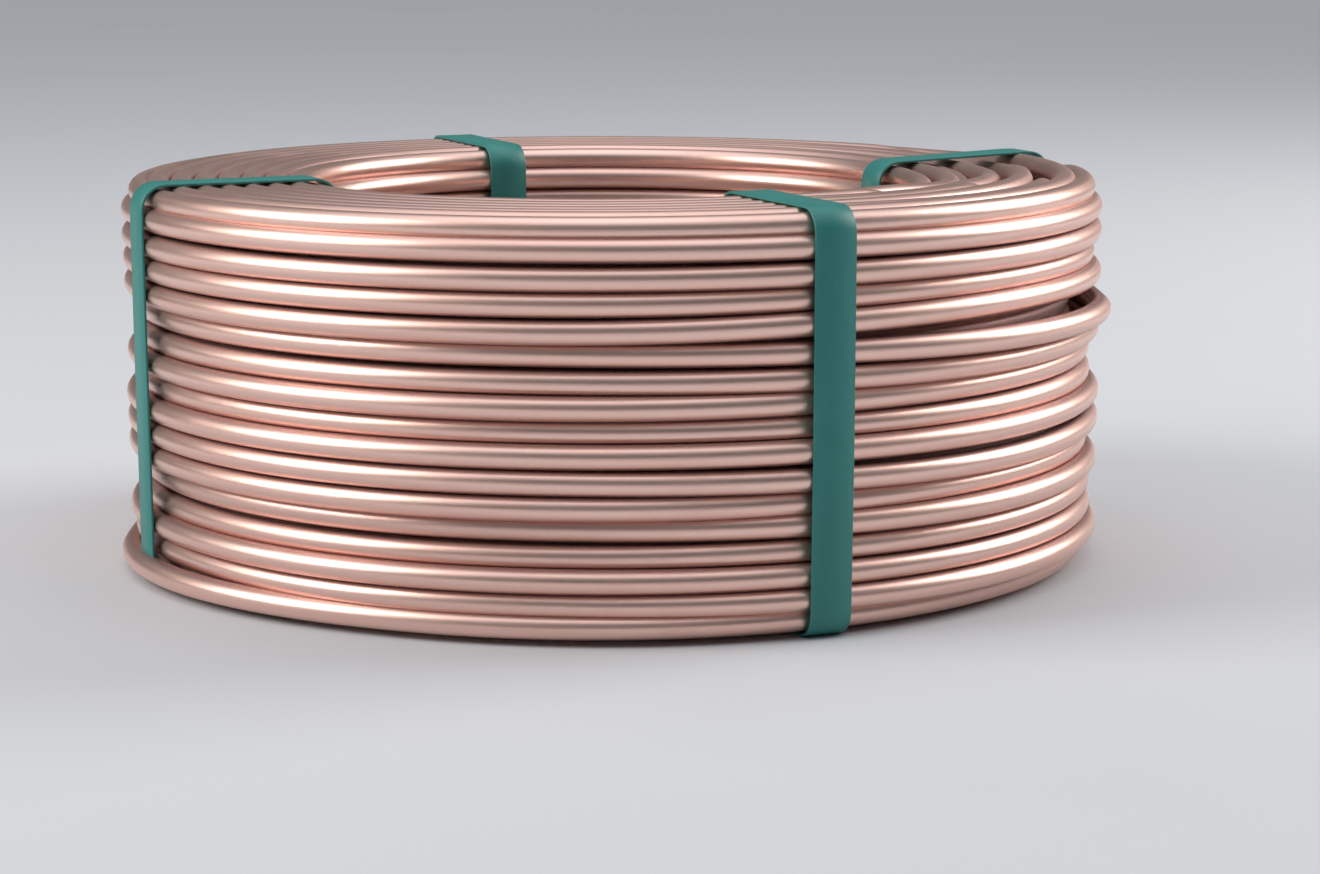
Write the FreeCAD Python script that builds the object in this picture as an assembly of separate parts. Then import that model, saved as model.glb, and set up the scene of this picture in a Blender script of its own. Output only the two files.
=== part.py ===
"""Coil of copper rod, bound with four green plastic straps. Millimetres, +Z up.

The rod is level-wound into a thick ring that lies flat: turns stacked in layers, with the wraps of
each layer side by side. Every other layer stands a little further out, so the layers nest. The coil
is one turned solid with its bore, and the round of every turn that shows is cut into its outer
side, its bore, its top and its underside. Four straps are drawn tight round the section of the ring
in radial planes, each closed by a welded lap in the bore. The coil rests on the straps.

The origin is on the coil's axis, in the plane of the floor that the straps lie on.
"""

import math
import os

import FreeCAD
import Part

# Driving dimensions: the rod and its winding.
rod_diameter = 8.0
inner_turn_radius = 108.0  # centre line of the innermost wrap
wraps = 8  # turns side by side in each layer
layers = 17  # turns stacked up the height
wrap_gap = 0.15  # free space between two wraps of one layer
layer_stagger = 1.8  # how much further out every other layer stands
groove_depth = 2.0  # groove between neighbouring turns, below their crests

# Driving dimensions: the straps.
strap_angles = (22.5, 112.5, 203.0, 293.5)  # degrees from +X, anticlockwise from above
strap_width = 14.0
strap_thickness = 0.9
strap_bend_radius = 6.0  # inside of the bend at each corner of the coil
strap_clearance = 0.05
weld_lap_length = 30.0  # doubled strap where its two ends are welded

# What follows from them.
rod_radius = rod_diameter / 2
wrap_pitch = rod_diameter + wrap_gap
layer_pitch = math.sqrt(rod_diameter**2 - layer_stagger**2)
outer_turn_radius = inner_turn_radius + (wraps - 1) * wrap_pitch
first_layer_height = strap_thickness + strap_clearance + rod_radius
last_layer_height = first_layer_height + (layers - 1) * layer_pitch
# A strap whose bend is wider than the rod draws the four corner turns in diagonally.
corner_draw_in = max(0.0, strap_bend_radius - rod_radius) * (1 - math.sqrt(0.5))

outer_crest = outer_turn_radius + layer_stagger / 2 + rod_radius
bore_crest = inner_turn_radius - layer_stagger / 2 - rod_radius
bottom_crest = first_layer_height - rod_radius
top_crest = last_layer_height + rod_radius


def turn_centre(wrap, layer):
    """Centre of a turn's section, as a point in the XZ plane."""
    stagger = layer_stagger / 2 if layer % 2 == 0 else -layer_stagger / 2
    radius = inner_turn_radius + wrap * wrap_pitch + stagger
    height = first_layer_height + layer * layer_pitch
    if wrap in (0, wraps - 1) and layer in (0, layers - 1):
        radius += corner_draw_in if wrap == 0 else -corner_draw_in
        height += corner_draw_in if layer == 0 else -corner_draw_in
    return FreeCAD.Vector(radius, 0, height)


def outline_turns():
    """The turns that show, in order round the section: up the outside, in over the top, down the
    bore and out along the underside."""
    outside = [(wraps - 1, layer) for layer in range(layers)]
    top = [(wrap, layers - 1) for wrap in range(wraps - 2, 0, -1)]
    bore = [(0, layer) for layer in range(layers - 1, -1, -1)]
    underside = [(wrap, 0) for wrap in range(1, wraps - 1)]
    return [turn_centre(*turn) for turn in outside + top + bore + underside]


def outward(start, end):
    """Unit vector along the row of turns, and the one that points out of the coil."""
    along = (end - start).normalize()
    return along, FreeCAD.Vector(along.z, 0, -along.x)


def coil_section():
    """Face of the coil's section: an arc round each turn that shows, and a narrow floor in each
    groove between two of them."""
    floor_offset = rod_radius - groove_depth
    half_chord = math.sqrt(rod_radius**2 - floor_offset**2)
    centres = outline_turns()
    edges = []
    for before, centre, after in zip(centres[-1:] + centres[:-1], centres, centres[1:] + centres[:1]):
        along_in, out_in = outward(before, centre)
        along_out, out_out = outward(centre, after)
        arc_start = centre + out_in * floor_offset - along_in * half_chord
        arc_middle = centre + (out_in + out_out).normalize() * rod_radius
        arc_end = centre + out_out * floor_offset + along_out * half_chord
        next_start = after + out_out * floor_offset - along_out * half_chord
        edges.append(Part.Arc(arc_start, arc_middle, arc_end).toShape())
        edges.append(Part.makeLine(arc_end, next_start))
    return Part.Face(Part.Wire(edges))


def rod_coil():
    """The whole winding as one turned solid."""
    axis_point, axis = FreeCAD.Vector(0, 0, 0), FreeCAD.Vector(0, 0, 1)
    return coil_section().revolve(axis_point, axis, 360)


def rounded_rectangle(low_x, high_x, low_z, high_z, radius):
    """Closed wire in the XZ plane with four round corners."""
    corners = (
        (high_x - radius, high_z - radius, 0),
        (low_x + radius, high_z - radius, 90),
        (low_x + radius, low_z + radius, 180),
        (high_x - radius, low_z + radius, 270),
    )
    arcs = []
    for x, z, first_angle in corners:
        start, middle, end = (
            FreeCAD.Vector(x + radius * math.cos(angle), 0, z + radius * math.sin(angle))
            for angle in (math.radians(first_angle + step) for step in (0, 45, 90))
        )
        arcs.append((start, middle, end))
    edges = []
    for (start, middle, end), (next_start, _, _) in zip(arcs, arcs[1:] + arcs[:1]):
        edges.append(Part.Arc(start, middle, end).toShape())
        edges.append(Part.makeLine(end, next_start))
    return Part.Wire(edges)


def strap():
    """One strap in the radial plane of +X: a flat band round the section, and its welded lap."""
    half_width = strap_width / 2
    # The band is flat across its width, so in the hollow of the bore its two edges touch first.
    inner_face_x = math.sqrt(bore_crest**2 - half_width**2) - strap_clearance
    faces = {
        "low_x": inner_face_x,
        "high_x": outer_crest + strap_clearance,
        "low_z": bottom_crest - strap_clearance,
        "high_z": top_crest + strap_clearance,
    }
    inside = rounded_rectangle(radius=strap_bend_radius, **faces)
    outside = rounded_rectangle(
        faces["low_x"] - strap_thickness,
        faces["high_x"] + strap_thickness,
        faces["low_z"] - strap_thickness,
        faces["high_z"] + strap_thickness,
        strap_bend_radius + strap_thickness,
    )
    band = Part.Face([outside, inside]).extrude(FreeCAD.Vector(0, strap_width, 0))
    lap = Part.makeBox(
        strap_thickness,
        strap_width,
        weld_lap_length,
        FreeCAD.Vector(
            inner_face_x - 2 * strap_thickness,
            0,
            (bottom_crest + top_crest - weld_lap_length) / 2,
        ),
    )
    whole = band.fuse(lap).removeSplitter()
    whole.translate(FreeCAD.Vector(0, -half_width, 0))
    return whole.Solids[0]


def save(shape, name):
    """One STEP file for each piece, named as the piece is."""
    shape.exportStep(f"parts/{name}.step")
    print(name, "volume", round(shape.Volume / 1000, 2), "cm3, valid", shape.isValid())


os.makedirs("parts", exist_ok=True)
save(rod_coil(), "rod_coil")
for number, angle in enumerate(strap_angles, start=1):
    bound = strap()
    bound.rotate(FreeCAD.Vector(0, 0, 0), FreeCAD.Vector(0, 0, 1), angle)
    save(bound, f"strap_{number}")
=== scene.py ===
"""Coil of copper rod bound with four green straps: its looks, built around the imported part.

The CAD coil is one turned solid. Here it is wound from its rod: one length that goes up and down
the height of the coil eight times, each time one rod further out. All lengths are metres, +Z up.
An azimuth is in degrees from +X, anticlockwise from above.
"""

import math

import bpy
import numpy as np
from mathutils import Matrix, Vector


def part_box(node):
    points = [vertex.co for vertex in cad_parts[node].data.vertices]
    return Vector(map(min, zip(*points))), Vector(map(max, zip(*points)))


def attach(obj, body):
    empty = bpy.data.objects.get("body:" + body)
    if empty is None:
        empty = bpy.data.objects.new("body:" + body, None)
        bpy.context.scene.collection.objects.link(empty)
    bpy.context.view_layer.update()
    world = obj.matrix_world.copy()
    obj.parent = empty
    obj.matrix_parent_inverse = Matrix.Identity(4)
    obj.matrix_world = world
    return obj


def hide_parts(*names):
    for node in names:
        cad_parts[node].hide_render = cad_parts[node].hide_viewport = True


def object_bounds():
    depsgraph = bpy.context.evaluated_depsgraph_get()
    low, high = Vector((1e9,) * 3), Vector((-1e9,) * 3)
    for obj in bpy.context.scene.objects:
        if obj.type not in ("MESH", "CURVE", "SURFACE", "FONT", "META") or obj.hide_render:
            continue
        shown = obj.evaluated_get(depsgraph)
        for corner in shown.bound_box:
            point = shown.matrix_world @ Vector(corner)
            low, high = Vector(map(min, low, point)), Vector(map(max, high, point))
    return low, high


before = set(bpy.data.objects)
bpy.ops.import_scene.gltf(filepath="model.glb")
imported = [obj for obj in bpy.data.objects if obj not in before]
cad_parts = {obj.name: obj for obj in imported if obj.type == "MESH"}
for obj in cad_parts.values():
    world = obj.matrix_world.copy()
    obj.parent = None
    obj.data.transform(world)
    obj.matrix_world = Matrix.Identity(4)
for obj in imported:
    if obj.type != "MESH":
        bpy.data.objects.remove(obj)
cad_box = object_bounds()

# ---------------------------------------------------------------------------------------------
# Sizes
# ---------------------------------------------------------------------------------------------
MM = 0.001
coil_low, coil_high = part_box("rod_coil")
ROD_RADIUS = 4 * MM
ROD = 2 * ROD_RADIUS
TURNS = 17  # turns one above another
COLUMNS = 8  # times the rod goes up or down the height
INNER_TURN = 108 * MM  # centre line of the innermost column
COLUMN_STEP = 8.0 * MM  # from one column to the next, where they lie tight
LOWEST = coil_low.z + ROD_RADIUS
HIGHEST = coil_high.z - ROD_RADIUS
TURN_STEP = (HIGHEST - LOWEST) / (TURNS - 1)

# Where the rod steps from turn to turn, and from column to column.
CROSSOVER_AZIMUTH = 32.0
CROSSOVER_DRIFT = 0.024  # how much earlier it is in each column than in the next one out, in turns
STEP_HALF = 0.036  # half the length of a step up or down, in turns of the coil
STEP_SPREAD = 0.045  # how much earlier the first step of a column is, and the last one later
SHIFT_HALF = 0.042  # half the length of the move out to the next column

# How far each outer turn lies below the one above it, from the top, in rods' thicknesses.
DROPS_LEFT = (0.88, 1.09, 0.97, 1.04, 0.88, 1.09, 0.94, 0.94, 0.90, 1.0, 1.0, 0.85, 1.09, 0.88, 0.97, 0.97)
DROPS_RIGHT = (0.96, 1.01, 0.93, 0.88, 1.36, 1.0, 0.89, 1.02, 0.89, 1.2, 0.87, 0.90, 0.96, 1.04, 0.96, 0.87)

# How the turns lie away from an even coil. The coil is loose round the azimuth LOOSE_AT.
LOOSE_AT, LOOSE_HALF = -2, 75
NEST = 0.9 * MM  # how far every other turn of an inner column stands out, and the ones between stand in
SPREAD = (-2.2, 0.2, 0.0, 0.1, 0.8, 0.3, -0.4, 0.3)  # mm that each column moves out where it is loose
CLIMB = 3.2 * MM  # how far the rod climbs in one turn
CLIMB_ENDS = 0.72  # the share of the turn it climbs through
CLIMB_LEVELS = 3  # lowest turns, which lie flatter
LOW_COLUMNS = (2, 5)  # columns that sag where the coil is loose
SAG = 1.6 * MM  # at their top turns
BULGING_TURN = 5  # from the top, counting from 0, in the outer column
BULGE, BULGE_AT, BULGE_HALF = 6.0 * MM, -27, 42
LOOSE_END, LOOSE_END_AT, LOOSE_END_HALF = 6.1 * MM, 205, 44  # the lowest outer turn
ROUND_MARGIN = 0.4 * MM  # kept free inside the size of the part by every turn
BOX_MARGIN = 0.3 * MM  # kept free inside its box by the turns that bulge

SIDES = 18  # round the rod
STATIONS = 160  # along each turn

STRAP_AZIMUTHS = {"strap_1": 22.5, "strap_2": 112.5, "strap_3": 203.0, "strap_4": 293.5}
STRAP_WIDTH = 14.0 * MM
STRAP_THICKNESS = 0.9 * MM
STRAP_CLEARANCE = 0.05 * MM
STRAP_BEND = 7.5 * MM  # inside of the bend at each corner of the coil
DRAWN_IN = 1.0 * MM  # how far the straps draw in the turns at the four corners
LAP_LENGTH = 30 * MM


def smooth(x):
    """0 below 0, 1 above 1, and a soft S between."""
    x = np.clip(x, 0, 1)
    return x * x * (3 - 2 * x)


def hump(azimuth, centre, half_width):
    """1 at the centre, falling softly to 0 half_width degrees to each side."""
    away = np.abs((azimuth - centre + 180) % 360 - 180)
    return smooth(1 - away / half_width)


# ---------------------------------------------------------------------------------------------
# The path of the rod
# ---------------------------------------------------------------------------------------------
def room(azimuth):
    """How far out the rod's centre line may lie and still be inside the part's box."""
    angle = np.radians(azimuth)
    return coil_high.x / np.maximum(np.abs(np.cos(angle)), np.abs(np.sin(angle))) - ROD_RADIUS - BOX_MARGIN


def held_inside(radius, limit):
    """The radius, bent softly to stay under its limit."""
    soft = 0.5 * MM
    return -soft * np.log(np.exp(-radius / soft) + np.exp(-limit / soft))


def turn_heights(drops):
    """Heights of the outer turns from the top down, with the drops scaled to fill the coil."""
    below = np.concatenate([[0], np.cumsum(drops)])
    return HIGHEST - below / below[-1] * (HIGHEST - LOWEST)


def seat(drops):
    """How far each outer turn stands out, so that turns closer than a rod apart lie side by side."""
    heights = turn_heights(drops)
    least = 0.3 * MM
    stand = [0.0]
    for drop in heights[:-1] - heights[1:]:
        needed = math.sqrt(max(ROD**2 - drop**2, 0.0))
        outwards = 1 if stand[-1] <= 0 else -1
        stand.append(stand[-1] + outwards * max(needed, least))
    return np.array(stand) - np.mean(stand)


HEIGHTS = {"left": turn_heights(DROPS_LEFT), "right": turn_heights(DROPS_RIGHT)}
STANDS = {"left": seat(DROPS_LEFT), "right": seat(DROPS_RIGHT)}


def turn_place(turn, wound):
    """Radius and height of one turn's centre line where the rod has been wound that many turns."""
    column, along = divmod(turn, TURNS)
    from_top = TURNS - 1 - along if column % 2 == 0 else along
    level = TURNS - 1 - from_top
    azimuth = (CROSSOVER_AZIMUTH + 360 * wound) % 360
    loose = hump(azimuth, LOOSE_AT, LOOSE_HALF)
    in_turn = wound - turn

    radius = INNER_TURN + column * COLUMN_STEP + np.zeros_like(wound)
    height = LOWEST + level * TURN_STEP + np.zeros_like(wound)
    if column == COLUMNS - 1:
        to_right = np.where(azimuth < 100, 1 - smooth((azimuth - 10) / 60), smooth((azimuth - 258) / 66))
        height = HEIGHTS["left"][from_top] * (1 - to_right) + HEIGHTS["right"][from_top] * to_right
        radius = radius + STANDS["left"][from_top] * (1 - to_right) + STANDS["right"][from_top] * to_right
    else:
        radius = radius + (NEST if level % 2 == 0 else -NEST)

    # The columns lie tight at the front and spread a little at the right.
    radius = radius + SPREAD[column] * MM * loose
    # The rod climbs to the height of its turn, less so in the lowest turns.
    share = min(1.0, level / CLIMB_LEVELS)
    height = height + share * CLIMB * (np.minimum(in_turn, CLIMB_ENDS) - CLIMB_ENDS)
    # Two columns lie a little low where the others are loose.
    if column in LOW_COLUMNS:
        height = height - SAG * loose * level / (TURNS - 1)

    # The turns at the four corners are drawn in by the straps.
    if level in (0, TURNS - 1) and column in (0, COLUMNS - 1):
        radius = radius + (DRAWN_IN if column == 0 else -DRAWN_IN)
        height = height + (DRAWN_IN if level == 0 else -DRAWN_IN)
    radius = held_inside(radius, coil_high.x - ROD_RADIUS - ROUND_MARGIN)
    # One outer turn bulges at the right, and the lowest one has worked out past a strap.
    if column == COLUMNS - 1 and from_top == BULGING_TURN:
        radius = held_inside(radius + BULGE * hump(azimuth, BULGE_AT, BULGE_HALF), room(azimuth))
    if column == COLUMNS - 1 and level == 0:
        radius = held_inside(radius + LOOSE_END * hump(azimuth, LOOSE_END_AT, LOOSE_END_HALF), room(azimuth))
    return radius, height


def rod_place(wound):
    """Radius, azimuth and height of the rod's centre line, for an array of turns wound."""
    last = COLUMNS * TURNS - 1
    drift = CROSSOVER_DRIFT * (COLUMNS - 1 - wound / TURNS)
    turn = np.clip(np.floor(wound + drift).astype(int), 0, last)
    radius = np.zeros_like(wound)
    height = np.zeros_like(wound)
    for here in np.unique(turn):
        pick = turn == here
        at = wound[pick]
        r, z = turn_place(here, at)
        for start, other in ((here, here - 1), (here + 1, here + 1)):
            if not 0 <= other <= last:
                continue
            step = start % TURNS
            is_shift = step == 0
            spread = 0 if is_shift else STEP_SPREAD * (step - TURNS / 2) / (TURNS / 2 - 0.5)
            column = start // TURNS - (0.5 if is_shift else 0)
            centre = start + spread - CROSSOVER_DRIFT * (COLUMNS - 1 - column)
            half = SHIFT_HALF if is_shift else STEP_HALF
            passed = smooth((at - centre) / (2 * half) + 0.5)
            share = 1 - passed if other < here else passed
            r_other, z_other = turn_place(other, at)
            r = r * (1 - share) + r_other * share
            z = z * (1 - share) + z_other * share
        radius[pick] = r
        height[pick] = z
    azimuth = np.radians(CROSSOVER_AZIMUTH) + 2 * math.pi * wound
    return radius, azimuth, height


def rod_points(wound):
    """Points of the rod's centre line."""
    radius, azimuth, height = rod_place(wound)
    return np.stack([radius * np.cos(azimuth), radius * np.sin(azimuth), height], axis=1)


# ---------------------------------------------------------------------------------------------
# Meshes
# ---------------------------------------------------------------------------------------------
def make_piece(name, points, faces, straight, seam=None):
    """A mesh piece. Its "straight" attribute is where each point lies in the piece laid out flat,
    and "seam" is how close a point lies to where the next turn touches."""
    mesh = bpy.data.meshes.new(name)
    mesh.vertices.add(len(points))
    mesh.vertices.foreach_set("co", np.asarray(points, np.float32).ravel())
    loops = np.concatenate([np.asarray(f, np.int32).ravel() for f in faces])
    sizes = np.concatenate([np.full(len(f), len(f[0]), np.int32) for f in faces])
    mesh.loops.add(len(loops))
    mesh.loops.foreach_set("vertex_index", loops)
    mesh.polygons.add(len(sizes))
    mesh.polygons.foreach_set("loop_start", np.concatenate([[0], np.cumsum(sizes)[:-1]]).astype(np.int32))
    mesh.update(calc_edges=True)
    mesh.validate()
    # Flat ends with crisp rims, and everything else smooth.
    mesh.polygons.foreach_set("use_smooth", sizes == 4)
    rims = np.empty(len(loops), np.int32)
    mesh.loops.foreach_get("edge_index", rims)
    crisp = np.zeros(len(mesh.edges), bool)
    crisp[rims[np.repeat(sizes > 4, sizes)]] = True
    mesh.attributes.new("sharp_edge", "BOOLEAN", "EDGE")
    mesh.attributes["sharp_edge"].data.foreach_set("value", crisp)
    mesh.attributes.new("straight", "FLOAT_VECTOR", "POINT")
    mesh.attributes["straight"].data.foreach_set("vector", np.asarray(straight, np.float32).ravel())
    if seam is not None:
        mesh.attributes.new("seam", "FLOAT", "POINT")
        mesh.attributes["seam"].data.foreach_set("value", np.asarray(seam, np.float32).ravel())
    piece = bpy.data.objects.new(name, mesh)
    bpy.context.scene.collection.objects.link(piece)
    return piece


def swept_faces(rings, sides, closed):
    """Quads between neighbouring rings of the same number of points."""
    ring = np.arange(rings if closed else rings - 1)[:, None]
    side = np.arange(sides)[None, :]
    following = (ring + 1) % rings
    around = (side + 1) % sides
    here, ahead = ring * sides, following * sides
    quads = np.stack([here + side, ahead + side, ahead + around, here + around], axis=-1)
    return quads.reshape(-1, 4)


def rod_column(column):
    """One column of the winding, as a closed tube of 17 turns that starts where the last one ended."""
    wound = column * TURNS + np.linspace(0, TURNS, TURNS * STATIONS + 1)
    nudge = 1e-3
    centres = rod_points(wound)
    run = rod_points(wound + nudge) - rod_points(wound - nudge)
    run /= np.linalg.norm(run, axis=1, keepdims=True)
    out = np.cross(run, [0, 0, 1])
    out /= np.linalg.norm(out, axis=1, keepdims=True)
    up = np.cross(out, run)
    angle = 2 * math.pi * np.arange(SIDES) / SIDES
    ring = np.cos(angle)[None, :, None] * out[:, None, :] + np.sin(angle)[None, :, None] * up[:, None, :]
    points = (centres[:, None, :] + ROD_RADIUS * ring).reshape(-1, 3)
    length = np.concatenate([[0], np.cumsum(np.linalg.norm(np.diff(centres, axis=0), axis=1))])
    length += column * TURNS * 2 * math.pi * INNER_TURN
    straight = np.stack(
        np.broadcast_arrays(
            length[:, None], ROD_RADIUS * np.cos(angle)[None, :], ROD_RADIUS * np.sin(angle)[None, :]
        ),
        axis=-1,
    ).reshape(-1, 3)
    # The turn touches the next ones above, below, inside and outside it, where there are any; the seam mask
    # marks these places for painted shade in the copper.
    level = (centres[:, 2] - LOWEST) / TURN_STEP
    seam = np.zeros((len(wound), SIDES))
    steps_out = (np.hypot(centres[:, 0], centres[:, 1]) - INNER_TURN) / COLUMN_STEP
    touching = (
        (math.pi / 2, smooth(TURNS - 1.3 - level)),
        (-math.pi / 2, smooth(level - 0.3)),
        (0, smooth(2.5 * (COLUMNS - 1.3 - steps_out))),
        (math.pi, smooth(2.5 * (steps_out - 0.3))),
    )
    for toward, touches in touching:
        near = smooth((np.cos(angle - toward) - 0.62) / 0.34)
        seam = np.maximum(seam, near[None, :] * touches[:, None])
    rings = len(wound)
    start_cap = np.arange(SIDES)[None, :]
    end_cap = (rings - 1) * SIDES + np.arange(SIDES)[None, ::-1]
    quads = swept_faces(rings, SIDES, closed=False)
    return make_piece(f"rod_column_{column + 1}", points, [quads, start_cap, end_cap], straight, seam)


def convex_outline(points):
    """Corners of the convex outline of a cloud of points in a plane, anticlockwise."""
    points = sorted(set(map(tuple, np.round(points, 8))))

    def half(points):
        chain = []
        for p in points:
            while len(chain) > 1:
                a, b = chain[-2], chain[-1]
                if (b[0] - a[0]) * (p[1] - a[1]) - (b[1] - a[1]) * (p[0] - a[0]) > 0:
                    break
                chain.pop()
            chain.append(p)
        return chain[:-1]

    return np.array(half(points) + half(points[::-1]))


def taut_line(azimuth, skip_lowest):
    """The tight line round the section of the coil at an azimuth: distance from the axis, height."""
    cloud = []
    angle = 2 * math.pi * np.arange(48) / 48
    circle = np.stack([np.cos(angle), np.sin(angle)], axis=1)
    reach = ROD_RADIUS + STRAP_CLEARANCE
    for across in np.linspace(-0.5, 0.5, 5) * STRAP_WIDTH:
        for radius_guess, columns in ((INNER_TURN, range(0, 2)), (INNER_TURN * 1.5, range(2, COLUMNS))):
            aside = math.degrees(math.asin(across / radius_guess))
            part = ((azimuth + aside - CROSSOVER_AZIMUTH) / 360) % 1
            for column in columns:
                wound = column * TURNS + np.arange(TURNS) + part
                radius, at, height = rod_place(wound)
                away = at - math.radians(azimuth)
                keep = np.ones(TURNS, bool)
                if skip_lowest and column == COLUMNS - 1:
                    keep[np.argmin(height)] = False
                centres = np.stack([radius * np.cos(away), height], axis=1)[keep]
                cloud.append((centres[:, None, :] + reach * circle).reshape(-1, 2))
    flat = convex_outline(np.concatenate(cloud))
    # The bend at each corner is wider than the rod.
    (low_x, low_z), (high_x, high_z) = flat.min(axis=0), flat.max(axis=0)
    bends = []
    for x, z in ((low_x, low_z), (low_x, high_z), (high_x, low_z), (high_x, high_z)):
        near = flat[np.hypot(flat[:, 0] - x, flat[:, 1] - z) < 2.5 * ROD]
        side = np.abs(near[:, 0] - x).min(), np.abs(near[:, 1] - z).min()
        centre_x = x + (side[0] + STRAP_BEND) * (1 if x == low_x else -1)
        centre_z = z + (side[1] + STRAP_BEND) * (1 if z == low_z else -1)
        bends.append((centre_x, centre_z) + STRAP_BEND * circle)
    return convex_outline(np.concatenate([flat, *bends]))


def strap(name, azimuth):
    """A flat strap drawn tight round the section of the coil, with its welded lap in the bore."""
    line = taut_line(azimuth, skip_lowest=name == "strap_3")
    line[:, 1] = np.clip(line[:, 1], cad_box[0][2] + STRAP_THICKNESS, cad_box[1][2] - STRAP_THICKNESS)
    steps = np.roll(line, -1, axis=0) - line
    lengths = np.linalg.norm(steps, axis=1)
    at = np.concatenate([[0], np.cumsum(lengths)])
    count = 640
    sample = np.linspace(0, at[-1], count, endpoint=False)
    closed = np.vstack([line, line[:1]])
    path = np.stack([np.interp(sample, at, closed[:, i]) for i in (0, 1)], axis=1)
    # The strap is stiff: its bends run out softly into the straight runs.
    reach = 5  # points to each side
    ease = np.hanning(2 * reach + 1)
    ease /= ease.sum()
    wrapped = np.vstack([path[-reach:], path, path[:reach]])
    path = np.stack([np.convolve(wrapped[:, i], ease, mode="valid") for i in (0, 1)], axis=1)
    along = np.roll(path, -1, axis=0) - np.roll(path, 1, axis=0)
    along /= np.linalg.norm(along, axis=1, keepdims=True)
    outward = np.stack([along[:, 1], -along[:, 0]], axis=1)

    edge = 0.22 * MM  # the strap's rolled edges
    half = STRAP_WIDTH / 2
    section = [
        (-half, edge), (-half + edge, 0), (half - edge, 0), (half, edge),
        (half, STRAP_THICKNESS - edge), (half - edge, STRAP_THICKNESS),
        (-half + edge, STRAP_THICKNESS), (-half, STRAP_THICKNESS - edge),
    ]

    def sweep(path, outward, sample, lift):
        points, straight = [], []
        c, s = math.cos(math.radians(azimuth)), math.sin(math.radians(azimuth))
        for (x, z), (nx, nz), run in zip(path, outward, sample):
            for across, above in section:
                out = x + nx * (above + lift)
                points.append((out * c - across * s, out * s + across * c, z + nz * (above + lift)))
                straight.append((run, across, above))
        return points, straight

    sides = len(section)
    points, straight = sweep(path, outward, sample, 0)
    faces = swept_faces(count, sides, closed=True)
    # The lap: the strap's other end, welded flat on it in the bore.
    middle_height = (line[:, 1].min() + line[:, 1].max()) / 2
    in_bore = (outward[:, 0] < -0.9) & (np.abs(path[:, 1] - middle_height) < LAP_LENGTH / 2)
    order = np.where(in_bore)[0]
    melted = 0.03 * MM  # how far the weld sinks one end into the other
    other_end = 0.2  # metres along the strap, so that the two ends are marked differently
    lap_points, lap_straight = sweep(
        path[order], outward[order], sample[order] + other_end, STRAP_THICKNESS - melted
    )
    lap_faces = swept_faces(len(order), sides, closed=False) + len(points)
    start = len(points)
    end = start + (len(order) - 1) * sides
    caps = [np.arange(start, start + sides)[None, :], np.arange(end, end + sides)[None, ::-1]]
    all_faces = [faces, lap_faces, *caps]
    return make_piece(f"{name}_drawn", points + lap_points, all_faces, straight + lap_straight)


# ---------------------------------------------------------------------------------------------
# Finishes
# ---------------------------------------------------------------------------------------------
def linear(red, green, blue):
    """A colour given as on a paint card, 0 to 255, as the shader wants it."""
    def one(value):
        value /= 255
        return value / 12.92 if value <= 0.04045 else ((value + 0.055) / 1.055) ** 2.4
    return (one(red), one(green), one(blue), 1)


class Sheet:
    """A node tree with short calls for adding and joining nodes."""

    def __init__(self, tree):
        self.tree = tree

    def add(self, kind, inputs=None, **settings):
        node = self.tree.nodes.new(kind)
        for key, value in settings.items():
            setattr(node, key, value)
        for key, value in (inputs or {}).items():
            self.set(node.inputs[key], value)
        return node

    def set(self, socket, value):
        if isinstance(value, bpy.types.NodeSocket):
            self.tree.links.new(value, socket)
        else:
            socket.default_value = value

    def math(self, operation, first, second=0.0):
        return self.add("ShaderNodeMath", {0: first, 1: second}, operation=operation).outputs[0]

    def span(self, value, low, high, to_low=0.0, to_high=1.0):
        node = self.add(
            "ShaderNodeMapRange",
            {"Value": value, "From Min": low, "From Max": high, "To Min": to_low, "To Max": to_high},
        )
        return node.outputs["Result"]

    def noise(self, place, scale, detail, roughness):
        values = {"Vector": place, "Scale": scale, "Detail": detail, "Roughness": roughness}
        return self.add("ShaderNodeTexNoise", values).outputs[0]

    def mix(self, share, first, second):
        node = self.add("ShaderNodeMix", data_type="RGBA")
        for key, value in ((0, share), (6, first), (7, second)):
            self.set(node.inputs[key], value)
        return node.outputs[2]


def node_group(name, inputs, outputs):
    """An empty shader group with its sockets, its sheet, and its two ends."""
    tree = bpy.data.node_groups.new(name, "ShaderNodeTree")
    for label, kind, value in inputs:
        socket = tree.interface.new_socket(label, in_out="INPUT", socket_type=kind)
        if value is not None:
            socket.default_value = value
    for label, kind in outputs:
        tree.interface.new_socket(label, in_out="OUTPUT", socket_type=kind)
    sheet = Sheet(tree)
    return sheet, tree.nodes.new("NodeGroupInput").outputs, tree.nodes.new("NodeGroupOutput").inputs


FLOAT, VECTOR = "NodeSocketFloat", "NodeSocketVector"


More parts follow.
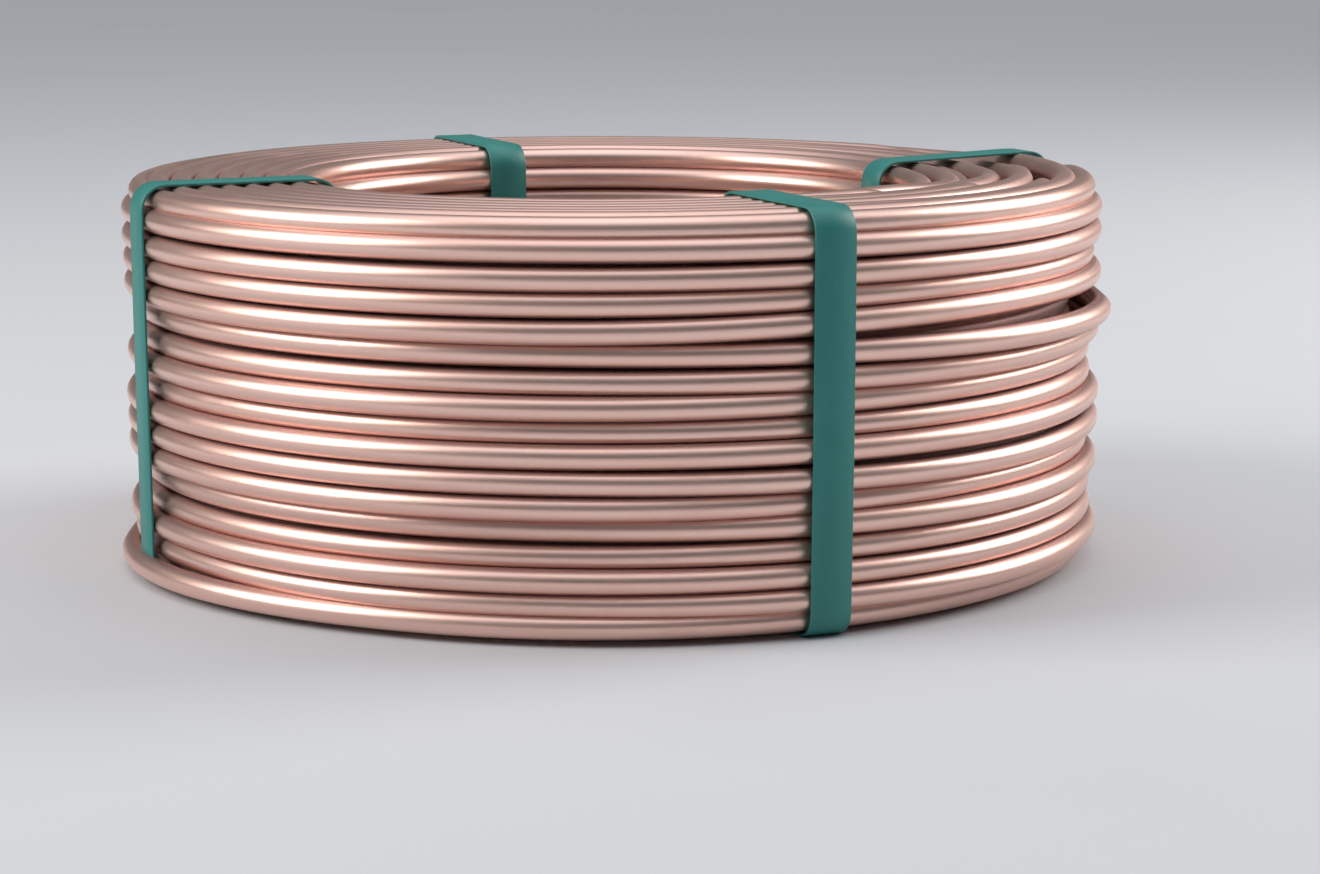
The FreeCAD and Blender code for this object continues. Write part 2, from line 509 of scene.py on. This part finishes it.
def build_drawn_lines():
    """Fine lines along a drawn rod or strap, and the slow change in how marked it is."""
    sheet, given, out = node_group(
        "drawn_lines",
        [
            ("Straight", VECTOR, None),
            ("Lines per mm", FLOAT, 3.0),
            ("Line length mm", FLOAT, 60.0),
            ("Patch mm", FLOAT, 90.0),
        ],
        [("Lines", FLOAT), ("Patches", FLOAT)],
    )
    split = sheet.add("ShaderNodeSeparateXYZ", {0: given["Straight"]}).outputs
    along = sheet.math("DIVIDE", sheet.math("MULTIPLY", split[0], 1000.0), given["Line length mm"])
    fine = sheet.math("MULTIPLY", given["Lines per mm"], 1000.0)
    place = sheet.add(
        "ShaderNodeCombineXYZ",
        {0: along, 1: sheet.math("MULTIPLY", split[1], fine), 2: sheet.math("MULTIPLY", split[2], fine)},
    ).outputs[0]
    lines = sheet.noise(place, scale=1.0, detail=3.0, roughness=0.6)
    slow = sheet.math("DIVIDE", sheet.math("MULTIPLY", split[0], 1000.0), given["Patch mm"])
    spot = sheet.add(
        "ShaderNodeCombineXYZ",
        {0: slow, 1: sheet.math("MULTIPLY", split[1], 90.0), 2: sheet.math("MULTIPLY", split[2], 90.0)},
    ).outputs[0]
    patches = sheet.noise(spot, scale=1.0, detail=4.0, roughness=0.55)
    sheet.set(out["Lines"], sheet.span(lines, 0.3, 0.7))
    sheet.set(out["Patches"], sheet.span(patches, 0.32, 0.68))
    return sheet.tree


def build_handling_marks():
    """Scuffs, rubs and fine grit that a coil picks up on the way to its user."""
    sheet, given, out = node_group(
        "handling_marks",
        [
            ("Place", VECTOR, None),
            ("Grit per m", FLOAT, 2500.0),
            ("Rubs per m", FLOAT, 25.0),
            ("Rub share", FLOAT, 0.3),
        ],
        [("Rubs", FLOAT), ("Grit", FLOAT)],
    )
    grit = sheet.noise(given["Place"], given["Grit per m"], detail=2.0, roughness=0.7)
    rub = sheet.noise(given["Place"], given["Rubs per m"], detail=5.0, roughness=0.62)
    cut = sheet.math("SUBTRACT", 0.72, sheet.math("MULTIPLY", given["Rub share"], 0.35))
    sheet.set(out["Rubs"], sheet.span(sheet.math("SUBTRACT", rub, cut), 0.0, 0.16))
    sheet.set(out["Grit"], sheet.span(grit, 0.35, 0.65))
    return sheet.tree


drawn_lines = build_drawn_lines()
handling_marks = build_handling_marks()


def new_finish(name):
    """A node material with its Principled shader, and its sheet."""
    finish = bpy.data.materials.new(name)
    finish.use_nodes = True
    sheet = Sheet(finish.node_tree)
    return finish, sheet, finish.node_tree.nodes["Principled BSDF"].inputs


def use_group(sheet, tree, inputs):
    node = sheet.add("ShaderNodeGroup", node_tree=tree)
    for key, value in inputs.items():
        sheet.set(node.inputs[key], value)
    return node.outputs


def drawn_copper():
    """Bright drawn copper with a satin skin, duller in slow patches, and with painted shade in the seams
    where the turns touch.
    """
    finish, sheet, shader = new_finish("drawn_copper")
    straight = sheet.add("ShaderNodeAttribute", attribute_name="straight").outputs["Vector"]
    place = sheet.add("ShaderNodeTexCoord").outputs["Object"]
    draw = use_group(
        sheet,
        drawn_lines,
        {"Straight": straight, "Lines per mm": 2.2, "Line length mm": 45.0, "Patch mm": 120.0},
    )
    marks = use_group(
        sheet,
        handling_marks,
        {"Place": place, "Grit per m": 2600.0, "Rubs per m": 22.0, "Rub share": 0.45},
    )
    bright = (0.950, 0.655, 0.570, 1)
    warm = (0.915, 0.580, 0.480, 1)
    dull = (0.730, 0.460, 0.395, 1)
    skin = sheet.mix(sheet.math("MULTIPLY", draw["Patches"], 0.55), bright, warm)
    skin = sheet.mix(sheet.math("MULTIPLY", marks["Rubs"], 0.22), skin, dull)
    skin = sheet.mix(sheet.math("MULTIPLY", draw["Lines"], 0.10), skin, dull)
    # Painted shade: where the turns touch, the copper's colour is darkened toward a dark brown to stand for
    # the shade in the seams between rods, and it is rougher there.
    seam = sheet.add("ShaderNodeAttribute", attribute_name="seam").outputs["Fac"]
    painted_seam_shade = sheet.math("MULTIPLY", seam, sheet.span(marks["Grit"], 0.0, 1.0, 0.55, 0.9))
    skin = sheet.mix(painted_seam_shade, skin, (0.370, 0.235, 0.225, 1))
    sheet.set(shader["Base Color"], skin)
    shader["Metallic"].default_value = 1.0
    rough = sheet.math("ADD", 0.31, sheet.math("MULTIPLY", draw["Lines"], 0.06))
    rough = sheet.math("ADD", rough, sheet.math("MULTIPLY", marks["Grit"], 0.05))
    rough = sheet.math("ADD", rough, sheet.math("MULTIPLY", marks["Rubs"], 0.07))
    rough = sheet.math("ADD", rough, sheet.math("MULTIPLY", painted_seam_shade, 0.14))
    sheet.set(shader["Roughness"], rough)
    relief = sheet.math(
        "ADD", sheet.math("MULTIPLY", draw["Lines"], 0.6), sheet.math("MULTIPLY", marks["Grit"], 0.4)
    )
    bump = sheet.add("ShaderNodeBump", {"Strength": 0.35, "Distance": 0.00004, "Height": relief})
    sheet.set(shader["Normal"], bump.outputs[0])
    return finish


def green_strap():
    """Extruded polyester strap: smooth, with faint lines, a fine waffle and paler rubbed places."""
    finish, sheet, shader = new_finish("green_strap")
    straight = sheet.add("ShaderNodeAttribute", attribute_name="straight").outputs["Vector"]
    place = sheet.add("ShaderNodeTexCoord").outputs["Object"]
    draw = use_group(
        sheet,
        drawn_lines,
        {"Straight": straight, "Lines per mm": 1.3, "Line length mm": 35.0, "Patch mm": 60.0},
    )
    marks = use_group(
        sheet,
        handling_marks,
        {"Place": place, "Grit per m": 1800.0, "Rubs per m": 60.0, "Rub share": 0.35},
    )
    split = sheet.add("ShaderNodeSeparateXYZ", {0: straight}).outputs
    waffle_pitch = 2 * math.pi / (1.25 * MM)
    ridges = [
        sheet.math("SINE", sheet.math("MULTIPLY", sheet.math(way, split[0], split[1]), waffle_pitch))
        for way in ("ADD", "SUBTRACT")
    ]
    waffle = sheet.math("MULTIPLY", ridges[0], ridges[1])
    plain = linear(51, 136, 129)
    deep = linear(41, 117, 113)
    rubbed = linear(92, 162, 151)
    colour = sheet.mix(sheet.math("MULTIPLY", draw["Patches"], 0.45), plain, deep)
    colour = sheet.mix(sheet.math("MULTIPLY", draw["Lines"], 0.18), colour, deep)
    colour = sheet.mix(sheet.math("MULTIPLY", marks["Rubs"], 0.35), colour, rubbed)
    sheet.set(shader["Base Color"], colour)
    rough = sheet.math("ADD", 0.46, sheet.math("MULTIPLY", marks["Rubs"], 0.16))
    sheet.set(shader["Roughness"], rough)
    relief = sheet.math(
        "ADD", sheet.math("MULTIPLY", waffle, 0.35), sheet.math("MULTIPLY", draw["Lines"], 0.3)
    )
    relief = sheet.math("ADD", relief, sheet.math("MULTIPLY", marks["Grit"], 0.2))
    bump = sheet.add("ShaderNodeBump", {"Strength": 0.3, "Distance": 0.00005, "Height": relief})
    sheet.set(shader["Normal"], bump.outputs[0])
    return finish


def pale_floor():
    finish, sheet, shader = new_finish("pale_floor")
    place = sheet.add("ShaderNodeTexCoord").outputs["Object"]
    marks = use_group(
        sheet,
        handling_marks,
        {"Place": place, "Grit per m": 900.0, "Rubs per m": 2.0, "Rub share": 0.5},
    )
    plain, worn = linear(206, 208, 211), linear(198, 200, 204)
    colour = sheet.mix(sheet.math("MULTIPLY", marks["Rubs"], 0.25), plain, worn)
    sheet.set(shader["Base Color"], colour)
    shader["Roughness"].default_value = 0.8
    shader["Specular IOR Level"].default_value = 0.0
    return finish


# ---------------------------------------------------------------------------------------------
# The coil
# ---------------------------------------------------------------------------------------------
copper = drawn_copper()
strap_green = green_strap()
for column in range(COLUMNS):
    piece = rod_column(column)
    piece.data.materials.append(copper)
    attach(piece, "root")
    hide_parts("rod_coil")
for name, azimuth in STRAP_AZIMUTHS.items():
    piece = strap(name, azimuth)
    piece.data.materials.append(strap_green)
    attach(piece, "root")
    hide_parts(name)

# ---------------------------------------------------------------------------------------------
# The studio
# ---------------------------------------------------------------------------------------------
bpy.ops.mesh.primitive_circle_add(vertices=96, radius=14, fill_type="NGON", location=(0, 0, 0))
floor = bpy.context.object
floor.name = "studio_floor"
floor.data.materials.append(pale_floor())


def soft_lamp(name, place, aim, width, height, watts, colour=(1, 1, 1)):
    """A large soft box at a place, turned to face a point."""
    light = bpy.data.lights.new(name, "AREA")
    light.shape = "RECTANGLE"
    light.size = width
    light.size_y = height
    light.energy = watts
    light.color = colour
    lamp = bpy.data.objects.new(name, light)
    lamp.location = place
    lamp.rotation_euler = (Vector(aim) - Vector(place)).to_track_quat("-Z", "Y").to_euler()
    bpy.context.scene.collection.objects.link(lamp)
    return lamp


coil_middle = (0, 0, 0.07)
soft_lamp("left_soft_box", (-1.88, -0.45, 1.15), coil_middle, 1.2, 1.3, 31, (1.0, 0.97, 0.94))
soft_lamp("right_soft_box", (1.75, 0.66, 1.05), coil_middle, 1.1, 1.2, 27, (1.0, 0.97, 0.95))

# The studio's white ceiling, darker toward its walls.
world = bpy.data.worlds.new("studio")
bpy.context.scene.world = world
world.use_nodes = True
sky = Sheet(world.node_tree)
direction = sky.add("ShaderNodeTexCoord").outputs["Generated"]
toward_ceiling = sky.add("ShaderNodeSeparateXYZ", {0: direction}).outputs[2]
ceiling = world.node_tree.nodes["Background"].inputs
ceiling["Color"].default_value = (0.88, 0.90, 0.94, 1)
sky.set(ceiling["Strength"], sky.span(toward_ceiling, 0.62, 1.0, 0.13, 1.6))

camera = bpy.data.objects.new("camera", bpy.data.cameras.new("camera"))
bpy.context.scene.collection.objects.link(camera)
camera.location = (0, -1.180, 0.2354)
camera.data.sensor_width = 36
camera.data.lens = 92.46
camera.data.clip_start = 0.01
camera.data.clip_end = 100
turn_right, look_down = math.radians(0.8), math.radians(9.5)
camera.rotation_euler = (math.pi / 2 - look_down, 0, -turn_right)
bpy.context.scene.camera = camera
bpy.context.scene.view_settings.view_transform = "Standard"

bpy.context.view_layer.update()
